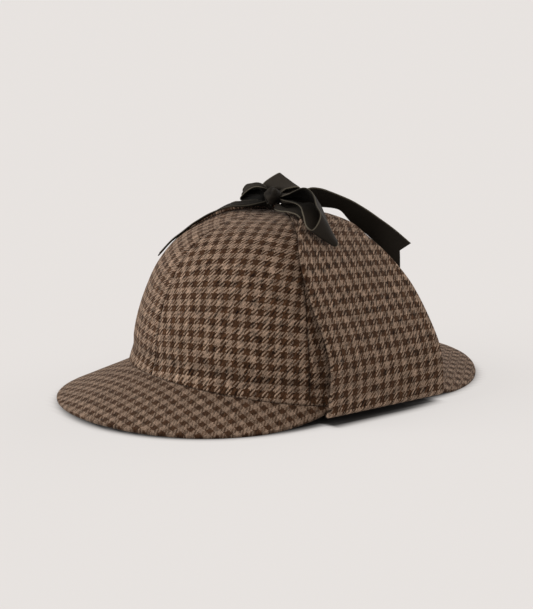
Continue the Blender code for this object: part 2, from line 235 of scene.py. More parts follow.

# Wool: how its fibres lie, how many fibres, flecks, waves and patches fill a metre, and what makes its tone,
# with painted shade that follows the relief of the threads
FIBRE_ANGLE = radians(55.0)
FIBRE_STRETCH = 0.22
FIBRES, FLECKS, WAVES, PATCHES = 900.0, 1700.0, 150.0, 45.0
BASE_TONE, RELIEF_PAINTED_SHADE, YARN_TONE, PATCH_TONE, FLECK_TONE = 0.80, 0.28, 0.16, 0.30, 2.0
WANDER = (0.8, 0.6)  # how many threads' width the warp and the weft wander
TAPE_FIBRES, TAPE_PATCHES = 3200.0, 70.0
# how strongly the painted shade and painted light of the tape show
TAPE_PAINTED_SHADE = 0.85

# Floor: its paper's own colour, how light it stays under the hat, where a painted shadow darkens it, and the
# share of it that only glows, which the painted shadow also cuts off
PAPER = (0.60, 0.575, 0.56)
PAINTED_SHADOW_LEVEL = 0.15
GLOW = 0.8
DIRECTIONS = 180  # in how many directions the hat's reach over the floor is taken
FLAP_DRAWN_IN = 6.0  # how much less far than its fold a flap reaches at its back end
FLOOR_LINES = (400, 900, 2500, 8000, 30000)  # far lines of the floor's grid, round a fine middle

# Lights: where each comes from, as right, up and back of the camera's view
LAMPS = dict(key_light=(-1.0, 0.35, 0.2), rim_light=(1.0, 0.5, -0.7))

# Camera, found from the photograph: its turn from the +X side, its height angle and its distance
CAMERA_TURN = radians(53.5)
CAMERA_RISE = radians(12.0)
CAMERA_DISTANCE = 896.0
CAMERA_AIM = Vector((0.0, 0.0, 47.6))
CAMERA_SLIDE = -11.2
CAMERA_LENS = 87.39  # mm


def mix(start, end, share):
    return start + (end - start) * share


def clamp(value):
    return max(0.0, min(1.0, value))


def smooth_step(start, end, value):
    share = clamp((value - start) / (end - start))
    return share * share * (3.0 - 2.0 * share)


def swell(value, centre, width, height=1.0):
    """A smooth rise of a height, with its middle at centre."""
    return height * exp(-((value - centre) / width) ** 2)


# ---- surfaces of the hat

def hem_height(turn):
    """Height of the hem line; turn is measured from the front, towards the wearer's left."""
    forward = cos(turn)
    rise = HEM_RISE_FRONT if forward > 0 else HEM_RISE_BACK
    return HEM_HEIGHT + rise * forward ** 2


def hem_point(turn, outward=0.0):
    """A point of the oval hem line, pushed outward along the oval's own normal."""
    normal = Vector((sin(turn) / HEM_HALF_WIDTH, -cos(turn) / HEM_HALF_LENGTH, 0.0)).normalized()
    point = Vector((HEM_HALF_WIDTH * sin(turn), -HEM_HALF_LENGTH * cos(turn), hem_height(turn)))
    return point + normal * outward


def side_press(turn, height):
    """How far the flaps press the crown in at a turn from the front and a share of its height."""
    from_front = acos(cos(turn))
    share = smooth_step(PRESS_FROM, PRESS_FULL, height)
    return SIDE_PRESS * share * max(cos(from_front - PRESS_TURN), 0.0) ** PRESS_FOCUS


def crown_point(turn, rise):
    """Outer face of the crown; rise runs from 0 at the hem to 1 at the top."""
    power = mix(SQUARE_BACK, SQUARE_FRONT, 0.5 + 0.5 * cos(turn))
    angle = pi / 2 - (pi / 2 - CROWN_LEAN) * (1.0 - rise) ** CROWN_SPREAD
    start = sin(CROWN_LEAN) ** (2.0 / power)
    reach = (max(cos(angle), 0.0) / cos(CROWN_LEAN)) ** (2.0 / power)
    height = (sin(angle) ** (2.0 / power) - start) / (1.0 - start)
    reach *= 1.0 - PANEL_FLATTENING * height ** 2 * sin(PANELS / 2 * turn) ** 2
    reach *= 1.0 - side_press(turn, height)
    hem = hem_point(turn)
    point = Vector((hem.x * reach, hem.y * reach, mix(hem.z + CROWN_SEAT, CROWN_TOP, height)))
    point.z += PUFF_HEIGHT * exp(-(point.xy - Vector(PUFF_PLACE)).length_squared / PUFF_RADIUS ** 2)
    return point


def section_at(rows, along, column):
    """Smooth value of one column of a table whose rows are placed by their 'along' column."""
    places, values = [row.along for row in rows], [getattr(row, column) for row in rows]
    index = 0
    while index < len(rows) - 2 and along > places[index + 1]:
        index += 1

    def slope(number):
        before, after = max(number - 1, 0), min(number + 1, len(rows) - 1)
        return (values[after] - values[before]) / (places[after] - places[before])

    length = places[index + 1] - places[index]
    t = (along - places[index]) / length
    return (values[index] * (2 * t ** 3 - 3 * t ** 2 + 1) + values[index + 1] * (3 * t ** 2 - 2 * t ** 3)
            + length * (slope(index) * (t ** 3 - 2 * t ** 2 + t) + slope(index + 1) * (t ** 3 - t ** 2)))


def smooth_row(points, place):
    """Catmull-Rom curve through the points; place runs from 0 to len(points) - 1."""
    index = min(max(int(place), 0), len(points) - 2)
    t = place - index
    p1, p2 = points[index], points[index + 1]
    p0 = points[index - 1] if index else p1 * 2 - p2
    p3 = points[index + 2] if index + 2 < len(points) else p2 * 2 - p1
    return 0.5 * (2 * p1 + (p2 - p0) * t + (2 * p0 - 5 * p1 + 4 * p2 - p3) * t ** 2
                  + (3 * p1 - p0 - 3 * p2 + p3) * t ** 3)


def peak_place(peak, u, v):
    """A place on a peak: its turn round the hem and its distance from the hem along the cloth."""
    depth = peak["depth"] * max(cos(u * pi / 2), 0.0) ** peak["power"]
    return peak["centre"] + u * peak["span"], mix(-PEAK_MARGIN, depth, v)


def peak_point(peak, u, v):
    """Middle of a peak's wall: u runs -1..1 round the hem, v 0..1 from the crown to the rim."""
    turn, distance = peak_place(peak, u, v)
    slope = mix(peak["slope_middle"], peak["slope_end"], u * u)
    out = distance * (cos(slope) if distance > 0 else 1.0)
    point = hem_point(turn, out)
    point.z -= PEAK_WALL / 2 + max(distance, 0.0) * sin(slope)
    return point


def flap_point(u, v):
    """Middle of the wearer's left flap's wall: u -1..1 from front to back, v 0..1 root to tip."""
    hem, share = FLAP_OUTLINE[0], 0.5 + 0.5 * u
    if v < FLAP_UNDER:
        y = mix(u * FLAP_ROOT_HALF, mix(hem.front, hem.back, share), v / FLAP_UNDER)
        root_x = HEM_HALF_WIDTH * sqrt(1.0 - (y / HEM_HALF_LENGTH) ** 2) - FLAP_ROOT_INSET
        return Vector((mix(root_x, FLAP_FOLD_X, v / FLAP_UNDER), y, FLAP_UNDER_HEIGHT))
    turned_up = (v - FLAP_UNDER) / (FLAP_UPRIGHT - FLAP_UNDER)
    if v < FLAP_UPRIGHT:
        along = 0.0
        out_x, out_z = sin(FLAP_FOLD_ANGLE * turned_up), -cos(FLAP_FOLD_ANGLE * turned_up)
        x = FLAP_FOLD_X + FLAP_FOLD_RADIUS * out_x
        z = FLAP_UNDER_HEIGHT + FLAP_FOLD_RADIUS * (1.0 + out_z)
    else:
        along = (v - FLAP_UPRIGHT) / (1.0 - FLAP_UPRIGHT)
        rise = mix(*FLAP_RISE, along)
        here, ahead = crown_point(pi / 2, rise), crown_point(pi / 2, rise + FLAP_RISE[0])
        run, climb = ahead.x - here.x, ahead.z - here.z
        length = hypot(run, climb)
        out_x, out_z = climb / length, -run / length
        stand = mix(FLAP_STANDOFF, FLAP_HEM_STANDOFF, max(1.0 - along / FLAP_HEM_REACH, 0.0) ** 2)
        x, z = here.x + out_x * stand, here.z + out_z * stand
    front, back, front_stand, back_stand = (
        section_at(FLAP_OUTLINE, along, column) for column in Section._fields[1:])
    stand = 0.5 * (back_stand - front_stand) * u + 0.5 * (back_stand + front_stand) * u * u
    stand *= min(1.0, turned_up)
    return Vector((x + out_x * stand, mix(front, back, share), z + max(out_z, 0.0) * stand))


# ---- sheets with rounded edges

EDGE_STEPS = (0.0, 0.06, 0.2, 0.42, 0.75, 1.2, 1.8)  # grid lines next to an edge
MERGE_DISTANCE = 2e-6  # in metres


def grid_lines(length, step):
    """Places from 0 to 1 along a length, step apart, with closer lines next to both ends."""
    inner = max(int(length / step), 2)
    ends = [edge / length for edge in EDGE_STEPS if edge < length / 4]
    margin = ends[-1]
    middle = [mix(margin, 1.0 - margin, (number + 1) / inner) for number in range(inner - 1)]
    return ends + middle + [1.0 - end for end in reversed(ends)]


def surface_normals(points):
    """Unit normals of a grid of points, pointing to u cross v."""
    rows, columns = len(points), len(points[0])
    normals = []
    for j in range(rows):
        line = []
        for i in range(columns):
            across = points[j][min(i + 1, columns - 1)] - points[j][max(i - 1, 0)]
            along = points[min(j + 1, rows - 1)][i] - points[max(j - 1, 0)][i]
            normal = across.cross(along)
            if normal.length < 1e-9 and normals:
                normal = normals[-1][i].copy()
            line.append(normal.normalized())
        normals.append(line)
    return normals


def distances(line):
    """How far each point of a line is from its first, along the line."""
    return list(accumulate(((after - before).length for before, after in zip(line, line[1:])), initial=0.0))


def cloth_mesh(name, place, across_lines, along_lines, wall, ripple, cloth, rounding, crease,
               side=0, stands=False, shade=None):
    """A sheet with a wall and round edges, made from place(u, v), with the weave's place as its UV map.

    ripple is how far a point is pushed out, and cloth its place in the weave. rounding is how far the
    wall's thickness falls away before the left, right, first and last edges, and crease how far the painted
    shade beside the edges reaches, to which shade adds painted shade, and painted light where it is
    negative. side is 0 where place gives the middle of the wall and 1 where it gives the outer face. A sheet
    that stands on the floor is cut flat there.
    """
    points = [[place(u, v) for u in across_lines] for v in along_lines]
    normals = surface_normals(points)
    for j, v in enumerate(along_lines):
        for i, u in enumerate(across_lines):
            points[j][i] = points[j][i] + normals[j][i] * ripple(u, v, points[j][i])
    normals = surface_normals(points)
    across = [distances(row) for row in points]
    along = list(zip(*(distances(column) for column in zip(*points))))
    last_row, last_column = len(points) - 1, len(points[0]) - 1
    half = wall / 2
    build = bmesh.new()
    painted_shade_layer = build.verts.layers.float.new("crease")
    uv_layer = build.loops.layers.uv.new("cloth")
    uv_of = {}
    top, under = [], []
    for j, v in enumerate(along_lines):
        top.append([])
        under.append([])
        for i, u in enumerate(across_lines):
            sides = (across[j][i], across[j][-1] - across[j][i], along[j][i], along[-1][i] - along[j][i])
            share = clamp(min(distance / size for distance, size in zip(sides, rounding)))
            thick = half * sqrt(max(1.0 - (1.0 - share) ** 2, 0.0))
            normal = normals[j][i]
            centre = points[j][i] - normal * (half * side)
            pair = [build.verts.new(centre + normal * thick)]
            if 0 < j < last_row and 0 < i < last_column:
                pair.append(build.verts.new(centre - normal * thick))
            uv = Vector(cloth(i, j, u, v, across, along)) * MM
            for vertex, face in zip(pair, (1, -1)):
                if stands:
                    vertex.co.z = max(vertex.co.z, 0.0)
                # painted shade beside the edges, plus the painted shade and painted light that shade gives
                vertex[painted_shade_layer] = ((swell(min(sides), 0.0, crease) if crease else 0.0)
                                        + (shade(u, v, centre, face) if shade else 0.0))
                uv_of[vertex] = uv
            top[-1].append(pair[0])
            under[-1].append(pair[-1])
    for grid, order in ((top, 1), (under, -1)):
        for j in range(last_row):
            for i in range(last_column):
                corners = [grid[j][i], grid[j][i + 1], grid[j + 1][i + 1], grid[j + 1][i]][::order]
                if len({corner.co.to_tuple(4) for corner in corners}) > 2:
                    face = build.faces.new(corners)
                    face.smooth = True
                    for loop in face.loops:
                        loop[uv_layer].uv = uv_of[loop.vert]
    for vertex in build.verts:
        vertex.co = (vertex.co - MIDDLE) * MM
    bmesh.ops.remove_doubles(build, verts=build.verts, dist=MERGE_DISTANCE)
    stray = [vertex for vertex in build.verts if not vertex.link_faces]
    bmesh.ops.delete(build, geom=stray, context='VERTS')
    return finished_mesh(name, build)


def finished_mesh(name, build):
    """A mesh from a bmesh, with the faces of a closed one outward."""
    if build.calc_volume(signed=True) < 0:
        bmesh.ops.reverse_faces(build, faces=build.faces)
    mesh = bpy.data.meshes.new(name)
    build.to_mesh(mesh)
    build.free()
    return mesh


def add_object(name, data):
    made = bpy.data.objects.new(name, data)
    bpy.context.scene.collection.objects.link(made)
    return made


def add_piece(name, mesh, material, replaced):
    """Puts a finished mesh in the scene as a piece of the hat, in the place of CAD nodes."""
    if name in bpy.data.objects:
        bpy.data.objects.remove(bpy.data.objects[name])
    mesh.materials.append(material)
    piece = add_object(name, mesh)
    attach(piece, "root")
    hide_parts(*replaced)
    return piece


# ---- materials

class Signal:
    """One output of a shader node, so that maths on it reads as an expression."""

    def __init__(self, nodes, socket):
        self.nodes = nodes
        self.socket = socket

    def maths(self, operation, *others):
        return self.nodes.add("Math", {"operation": operation}, dict(enumerate((self,) + others)))

    def __rsub__(self, other):
        return self.nodes.add("Math", {"operation": 'SUBTRACT'}, {0: other, 1: self})

    __add__ = __radd__ = partialmethod(maths, 'ADD')
    __sub__ = partialmethod(maths, 'SUBTRACT')
    __mul__ = partialmethod(maths, 'MULTIPLY')
    __truediv__ = partialmethod(maths, 'DIVIDE')
    __mod__ = partialmethod(maths, 'FLOORED_MODULO')
    __lt__ = partialmethod(maths, 'LESS_THAN')


class Nodes:
    """The node tree of one material."""

    def __init__(self, name):
        self.material = bpy.data.materials.new(name)
        self.material.use_nodes = True
        self.tree = self.material.node_tree
        self.shader = self.tree.nodes["Principled BSDF"]

    def add(self, kind, settings, inputs, output=0):
        node = self.tree.nodes.new("ShaderNode" + kind)
        for setting, value in settings.items():
            setattr(node, setting, value)
        self.fill(node, inputs)
        return Signal(self, node.outputs[output])

    def fill(self, node, inputs):
        for socket, value in inputs.items():
            if isinstance(value, Signal):
                self.tree.links.new(value.socket, node.inputs[socket])
            else:
                node.inputs[socket].default_value = value

    def split(self, vector):
        node = self.add("SeparateXYZ", {}, {0: vector}).socket.node
        return [Signal(self, socket) for socket in node.outputs]

    def combine(self, x, y):
        return self.add("CombineXYZ", {}, {0: x, 1: y, 2: 0.0})

    def colours(self, first, second, factor):
        """A mix of two colours."""
        return self.add("Mix", {"data_type": 'RGBA'}, {0: factor, 6: first, 7: second}, 2)

    def shade(self, colour, amount):
        """A colour times a number."""
        return self.add("VectorMath", {"operation": 'SCALE'}, {0: colour, 3: amount})

    def noise(self, vector, scale, detail=2.0):
        return self.add("TexNoise", {}, {"Vector": vector, "Scale": scale, "Detail": detail})

    def attribute(self, name):
        return self.add("Attribute", {"attribute_name": name}, {}, 2)

    def uv(self):
        return self.add("UVMap", {"uv_map": "cloth"}, {})

    def surface(self, colour, height, bump, depth, roughness, gloss, sheen, sheen_roughness, sheen_tint):
        """Ends a material of cloth."""
        normal = self.add("Bump", {}, {"Strength": bump, "Distance": depth, "Height": height})
        self.fill(self.shader, {"Base Color": colour, "Normal": normal, "Roughness": roughness,
                                "Specular IOR Level": gloss, "Sheen Weight": sheen,
                                "Sheen Roughness": sheen_roughness, "Sheen Tint": opaque(sheen_tint)})
        return self.material


def hill(value):
    """0 at 0 and at 1, and 1 half way between."""
    centred = value * 2.0 - 1.0
    return 1.0 - centred * centred


def opaque(colour):
    return tuple(colour) + (1.0,)


def wool(settings, pressed=0.0):
    """Woollen check cloth in a two and two twill, with half of the threads dark, both ways.

    pressed is how far the crossing threads blend, as on a peak whose nap is pressed over its stiffener.
    """
    name = "wool_check_peak" if pressed else "wool_check"
    if name in bpy.data.materials:
        return bpy.data.materials[name]
    nodes = Nodes(name)
    spot = nodes.uv()
    x, y, _ = nodes.split(spot)
    lengthwise = x * cos(FIBRE_ANGLE) + y * sin(FIBRE_ANGLE)
    crosswise = y * cos(FIBRE_ANGLE) - x * sin(FIBRE_ANGLE)
    strand = nodes.combine(lengthwise * FIBRE_STRETCH, crosswise)
    stroke = nodes.noise(strand, FIBRES, 1.0) - 0.5
    fleck = nodes.noise(spot, FLECKS, 1.0) - 0.5
    wander = nodes.noise(spot, WAVES, 2.0) - 0.5
    x = x * (settings.threads_across / settings.repeat_across) + wander * WANDER[0] + stroke * settings.fuzz
    y = y * (settings.threads_along / settings.repeat_along) + wander * WANDER[1] + fleck * settings.fuzz
    warp, weft = x.maths('FLOOR'), y.maths('FLOOR')
    across_thread, along_thread = x.maths('FRACT'), y.maths('FRACT')
    step = (warp - weft) % 4.0
    warp_on_top = step < 2.0
    warp_dark = (warp % float(settings.threads_across)) < settings.threads_across * settings.dark_share
    weft_dark = (weft % float(settings.threads_along)) < settings.threads_along * settings.dark_share
    weft_on_top = 1.0 - warp_on_top
    dark = ((warp_dark * warp_on_top + weft_dark * weft_on_top) * (1.0 - pressed)
            + (warp_dark + weft_dark) * (0.5 * pressed))

    warp_float = hill((1.0 - step + along_thread) * 0.5)
    weft_float = hill((step - 2.0 + across_thread) * 0.5)
    relief = warp_on_top * warp_float * hill(across_thread) + weft_on_top * weft_float * hill(along_thread)

    def yarn(number, seed):
        return nodes.add("TexWhiteNoise", {"noise_dimensions": '3D'},
                         {"Vector": nodes.combine(number, seed)})

    yarn_tone = yarn(warp, 3.0) * warp_on_top + yarn(weft, 8.0) * weft_on_top
    patch = nodes.noise(spot, PATCHES, 3.0) - 0.5
    # The relief term paints shade where each float dips under the next thread, and the wales term paints
    # light on the warp floats; the yarn, patch, stroke and fleck terms are the cloth's own uneven tone.
    tone = (BASE_TONE + relief * RELIEF_PAINTED_SHADE + (warp_on_top - 0.5) * settings.wales
            + (yarn_tone - 0.5) * YARN_TONE + patch * PATCH_TONE
            + stroke * (settings.strokes * (1.0 - pressed)) + fleck * FLECK_TONE)
    # Painted shade darkens the cloth along its seams and edges and in a ring above the hem, and painted
    # light lightens a band just above the hem seam.
    tone = tone * (1.0 - nodes.attribute("crease") * settings.seam_shade)
    colour = nodes.shade(nodes.colours(opaque(settings.light), opaque(settings.dark), dark), tone)
    return nodes.surface(colour, relief + stroke * 1.5 + fleck * 0.5, bump=0.55, depth=0.00025,
                         roughness=0.90 + fleck * 0.12, gloss=0.06, sheen=settings.sheen,
                         sheen_roughness=0.30, sheen_tint=(0.95, 0.82, 0.72))


def tape(settings):
    """Black tape with fine ribs across it and a paler woven edge on each side."""
    if "tape_black" in bpy.data.materials:
        return bpy.data.materials["tape_black"]
    nodes = Nodes("tape_black")
    spot = nodes.uv()
    x, y, _ = nodes.split(spot)
    from_edge = settings.width / 2 - x.maths('ABSOLUTE')
    edge = from_edge < settings.edge_width
    ribs = hill((y / settings.rib).maths('FRACT'))
    ends = hill((x / (settings.rib * 0.8)).maths('FRACT'))
    relief = ribs * 0.6 + ends * 0.4 + edge * 0.8
    fibre = nodes.noise(spot, TAPE_FIBRES, 2.0)
    patch = nodes.noise(spot, TAPE_PATCHES, 3.0) - 0.5
    # The ribs are painted lighter on their crests and darker between them, a painted shade of their relief.
    tone = BASE_TONE + ribs * 0.22 + (fibre - 0.5) * 0.5 + patch * 0.35
    colour = nodes.colours(opaque(settings.colour), opaque(settings.edge_colour), edge)
    # Painted shade where the knot gathers the tape, inside the loops, over the knot and along the front
    # tail, and painted light inside the end of a loop and on the back loop.
    colour = nodes.shade(colour, tone * (1.0 - nodes.attribute("crease") * TAPE_PAINTED_SHADE))
    return nodes.surface(colour, relief + fibre * 0.4, bump=0.5, depth=0.00015,
                         roughness=0.70 + fibre * 0.16, gloss=0.07, sheen=0.01,
                         sheen_roughness=0.5, sheen_tint=(1.0, 0.9, 0.75))


# ---- settings

class HatWool(bpy.types.PropertyGroup):
    """The check cloth."""
    threads_across: IntProperty(
        name="Threads Across", description="Threads in one repeat, across the cloth", default=12)
    threads_along: IntProperty(
        name="Threads Along", description="Threads in one repeat, along the cloth", default=12)
    repeat_across: FloatProperty(
        name="Repeat Across", description="One repeat, across the cloth", default=0.00687, unit='LENGTH',
        precision=5)
    repeat_along: FloatProperty(
        name="Repeat Along", description="One repeat, along the cloth", default=0.00735, unit='LENGTH',
        precision=5)
    dark: FloatVectorProperty(
        name="Dark Yarn", description="Colour of the dark threads", subtype='COLOR',
        default=(0.0445, 0.0212, 0.0104), min=0.0, max=1.0)
    light: FloatVectorProperty(
        name="Light Yarn", description="Colour of the light threads", subtype='COLOR',
        default=(0.199, 0.138, 0.098), min=0.0, max=1.0)
    dark_share: FloatProperty(
        name="Dark Share", description="Share of the threads that is dark", default=0.5, subtype='FACTOR')
    fuzz: FloatProperty(
        name="Fuzz", description="How far the fibres blur the edge of a thread, in threads", default=1.6)
    strokes: FloatProperty(
        name="Strokes", description="How much the fibres along the twill vary in tone", default=3.2)
    # painted light: how much lighter the warp floats are painted than the weft floats
    wales: FloatProperty(name="Wales", description="How much lighter the warp floats are", default=0.22)
    sheen: FloatProperty(
        name="Sheen", description="Light caught by the raised fibres", default=0.12, subtype='FACTOR')
    pressed: FloatProperty(
        name="Pressed", description="How far the threads blend on the peaks", default=0.45, subtype='FACTOR')
    # strength of the painted shade and painted light in the seams, at the edges and above the hem
    seam_shade: FloatProperty(
        name="Seam Shade", description="How much darker the cloth is in a seam", default=0.35,
        subtype='FACTOR')
    flare: FloatProperty(
        name="Hem Flare", description="How far the crown turns out just above the hem seam", default=0.0015,
        unit='LENGTH', precision=4)
    ripple: FloatProperty(
        name="Ripple", description="Height of the soft unevenness of the cloth", default=0.00055,
        unit='LENGTH', precision=5)
    pucker: FloatProperty(
        name="Pucker", description="Height of the puckers along a seam", default=0.0006, unit='LENGTH',
        precision=5)


class HatTape(bpy.types.PropertyGroup):
    """The tape of the ties and the bow."""
    width: FloatProperty(
        name="Width", description="Width of the tape", default=0.0185, unit='LENGTH', precision=4)
    wall: FloatProperty(
        name="Thickness", description="Thickness of the tape", default=0.0008, unit='LENGTH', precision=4)
    edge_width: FloatProperty(
        name="Edge", description="Width of the paler woven edge", default=0.0007, unit='LENGTH', precision=4)
    rib: FloatProperty(
        name="Rib", description="Distance between two ribs", default=0.0006, unit='LENGTH', precision=4)
    colour: FloatVectorProperty(
        name="Colour", description="Colour of the tape", subtype='COLOR', default=(0.0170, 0.0138, 0.0104),
        min=0.0, max=1.0)
    edge_colour: FloatVectorProperty(
        name="Edge Colour", description="Colour of the paler edge", subtype='COLOR',
        default=(0.070, 0.060, 0.044), min=0.0, max=1.0)


class HatStage(bpy.types.PropertyGroup):
    """Floor, lights and background."""
    backdrop: FloatVectorProperty(
        name="Backdrop", description="Colour of the background and the floor", subtype='COLOR',
        default=(0.797, 0.766, 0.744), min=0.0, max=1.0)
    ambient: FloatProperty(name="Ambient", description="Strength of the light from all around", default=1.0)
    key: FloatProperty(name="Key", description="Strength of the large soft light from the left", default=3.3)
    rim: FloatProperty(
        name="Rim", description="Strength of the soft light from the right, behind the hat", default=2.3)
    spread: FloatProperty(
        name="Spread", description="Angle that each of the two lights fills", default=radians(60.0),
        subtype='ANGLE')
    # how softly the painted shadow under the hat ends
    shade_softness: FloatProperty(
        name="Shade Softness", default=0.005, unit='LENGTH',
        description="How softly the shade under the hat ends")


# ---- the pieces

def cloth_ripple(point, height, grain):
    """Soft unevenness of a piece of cloth."""
    spot = point / grain
    return height * (noise.noise(spot) + 0.5 * noise.noise(spot * 2.1 + Vector((5.0, 2.0, 9.0))))


def panel_cloth(start, end, along_lines, skew):
    """Lays the weave on a crown panel: straight up its middle and bent round beside it."""
    middle = [crown_point(mix(start, end, 0.5), v) for v in along_lines]
    climb, run = distances(middle), [hypot(*point.xy) for point in middle]
    cosine, sine = cos(skew), sin(skew)

    def cloth(i, j, u, v, across, along):
        from_middle = across[j][i] - across[j][-1] / 2
        low, high = max(j - 1, 0), min(j + 1, len(climb) - 1)
        bend = -(run[high] - run[low]) / max(climb[high] - climb[low], 1e-6) / max(run[j], BEND_RADIUS)
        up = climb[j] + PANEL_BEND * bend * from_middle ** 2 / 2
        return from_middle * cosine + up * sine, -from_middle * sine + up * cosine

    return cloth


def make_crown_panel(number, settings):
    """One gore of the crown, with its seam edges turned in."""
    start, end = PANEL_SEAMS[number - 1:number + 1]

    def place(u, v):
        point = crown_point(mix(start - SEAM_PRESS, end + SEAM_PRESS, u), v)
        point.z -= SEAT_DROP * exp(-v / SEAT_REACH)
        return point

    def ripple(u, v, point):
        turn = mix(start, end, u)
        above_hem = point.z - hem_height(turn)
        radius = max(hypot(point.x, point.y), 1.0)
        from_seam = radius * (end - start) * min(u, 1.0 - u)
        round_hem = noise.noise(Vector((turn * HEM_RADIUS / HEM_PUCKER_GRAIN, 0.0, 3.0)))
        up_seam = noise.noise(Vector((point.z / SEAM_PUCKER_GRAIN, number, 7.0)))
        pucker = swell(above_hem, **HEM_PUCKER) * round_hem + swell(from_seam, **SEAM_PUCKER) * up_seam
        flare = settings.flare / MM * max(1.0 - above_hem / FLARE_HEIGHT, 0.0) ** FLARE_CURVE
        relief = (cloth_ripple(point, settings.ripple / MM, CLOTH_GRAIN) + settings.pucker / MM * pucker
                  + swell(from_seam, **SEAM_RIDGE) + flare + swell(above_hem, **HEM_DENT))
        return smooth_step(0.0, CALM_RADIUS, radius) * relief

    # Painted shade in a ring above the hem, uneven round it, and painted light on the band just above the
    # hem seam.
    def shade(u, v, point, face):
        turn = mix(start, end, u)
        above_hem = point.z - hem_height(turn)
        uneven = 1.0 + noise.noise(Vector((turn * 12.0, 2.0, 5.0)))
        return uneven * swell(above_hem, **HEM_SHADE) - swell(above_hem, **HEM_LIGHT)

    across_lines, along_lines = (grid_lines(length, CLOTH_STEP) for length in PANEL_SIZE)
    cloth = panel_cloth(start, end, along_lines, radians(PANEL_SKEWS[number - 1]))
    name = "crown_cloth_%d" % number
    mesh = cloth_mesh(name, place, across_lines, along_lines, CROWN_WALL, ripple, cloth,
                      rounding=(0.45, 0.45, 0.8, 1.0), crease=0.9, side=1, shade=shade)
    add_piece(name, mesh, wool(settings), ("crown_panel_%d" % number,))


def make_peak(name, node, peak, settings):
    """A peak: one sheet as thick as two layers of cloth over a stiffener, with a rounded rim."""

    def place(u, v):
        return peak_point(peak, 2 * u - 1, v)

    def ripple(u, v, point):
        return cloth_ripple(point, PEAK_EVENNESS * settings.ripple / MM, PEAK_GRAIN)

    def cloth(i, j, u, v, across, along):
        """The point as it lies on the flat cloth, with the grain along the hat."""
        point = hem_point(*peak_place(peak, 2 * u - 1, v))
        return point.x, -point.y

    across_lines = grid_lines(2 * peak["span"] * PEAK_SIZE[0], 1.5)
    mesh = cloth_mesh(name, place, across_lines, grid_lines(PEAK_SIZE[1], CLOTH_STEP), PEAK_WALL,
                      ripple, cloth, rounding=[PEAK_WALL / 2] * 4, crease=0.6, stands=True)
    add_piece(name, mesh, wool(settings, settings.pressed), (node,))


def make_flap(name, node, side, settings):
    """An ear flap, turned up at the hem; side is 1 for the wearer's left and -1 for the right."""

    def place(u, v):
        point = flap_point(side * (2 * u - 1), v)
        point.x *= side
        return point

    def ripple(u, v, point):
        height = FLAP_EVENNESS * settings.ripple / MM * smooth_step(0.15, 0.3, v)
        return cloth_ripple(point, height, FLAP_GRAIN)

    def cloth(i, j, u, v, across, along):
        middle = len(across[0]) // 2
        return across[j][i] - across[j][-1] / 2, along[j][middle]

    mesh = cloth_mesh(name, place, grid_lines(FLAP_SIZE[0], CLOTH_STEP), grid_lines(FLAP_SIZE[1], 1.2),
                      FLAP_WALL, ripple, cloth, rounding=(1.2, 1.2, 1.3, 1.3), crease=0.5)
    add_piece(name, mesh, wool(settings), (node,))


def make_ribbon(name, node, rows, settings, held, mirror=False, notch=False, inner=0,
                pocket=0.0, painted_shade=0.0):
    """A length of tape through the rows of near and far edges, pleated where the knot gathers it.

    A folded length is a loop, with both ends in the knot. inner is the face that lies inside it, 1 or -1,
    which gets painted shade; pocket is how much painted light lightens its end inside; and the last argument
    is how much painted shade darkens the whole length, where a negative amount lightens it as painted light.
    """
    side = -1.0 if mirror else 1.0
    width = settings.width / MM
    near, far = ([Vector((side * x, y, CROWN_TOP + z)) for x, y, z in edge] for edge in zip(*rows))
    last = len(rows) - 1

    def spot(along, u):
        return smooth_row(near, along).lerp(smooth_row(far, along), u)

    lengths = distances([spot(last * number / RUN_SAMPLES, 0.5) for number in range(RUN_SAMPLES + 1)])

    def run_at(v):
        index = min(int(v * RUN_SAMPLES), RUN_SAMPLES - 1)
        return mix(lengths[index], lengths[index + 1], v * RUN_SAMPLES - index)

    def gather(v, reach):
        """How strongly the knot gathers the tape; it fades over the reach."""
        run = run_at(v)
        second = exp(-(lengths[-1] - run) / reach) if held == "folded" else 0.0
        return exp(-run / reach) + second

    def place(u, v):
        along = v * last
        if notch:
            tip = (near[-1] - near[-2]).length
            along -= (1.0 - abs(2 * u - 1)) * NOTCH_DEPTH / tip * v ** NOTCH_SHARPNESS
        return spot(along, u)

    def ripple(u, v, point):
        local = (spot(v * last, 1.0) - spot(v * last, 0.0)).length
        tied = gather(v, PLEAT_REACH)
        deep = 2 * local * sqrt(max(width / local - 1.0, 0.0)) / (pi * PLEATS)
        pleats = min(deep, PLEAT_DEPTH) * min(tied, 1.0) * cos(pi * PLEATS * u)
        free = EDGE_CURL * (2 * u - 1) ** 2 + TAPE_RIPPLE * noise.noise(point / TAPE_GRAIN)
        return pleats + free * (1 - tied)

    def cloth(i, j, u, v, across, along):
        return (u - 0.5) * width, run_at(v)

    # Painted shade where the knot gathers the tape and on the face inside a loop, with painted light at the
    # loop's end inside.
    def shade(u, v, point, face):
        inside = 1.0 - swell(v, **POCKET, height=pocket) if face == inner else 0.0
        return min(painted_shade + GATHER_SHADE * gather(v, GATHER_SHADE_REACH) + inside, 1.0)

    wall = settings.wall / MM
    mesh = cloth_mesh(name, place, grid_lines(width, 0.7), grid_lines(lengths[-1], 1.0), wall,
                      ripple, cloth, rounding=[wall / 2] * 4, crease=0.0, shade=shade)
    piece = add_piece(name, mesh, tape(settings), (node,))


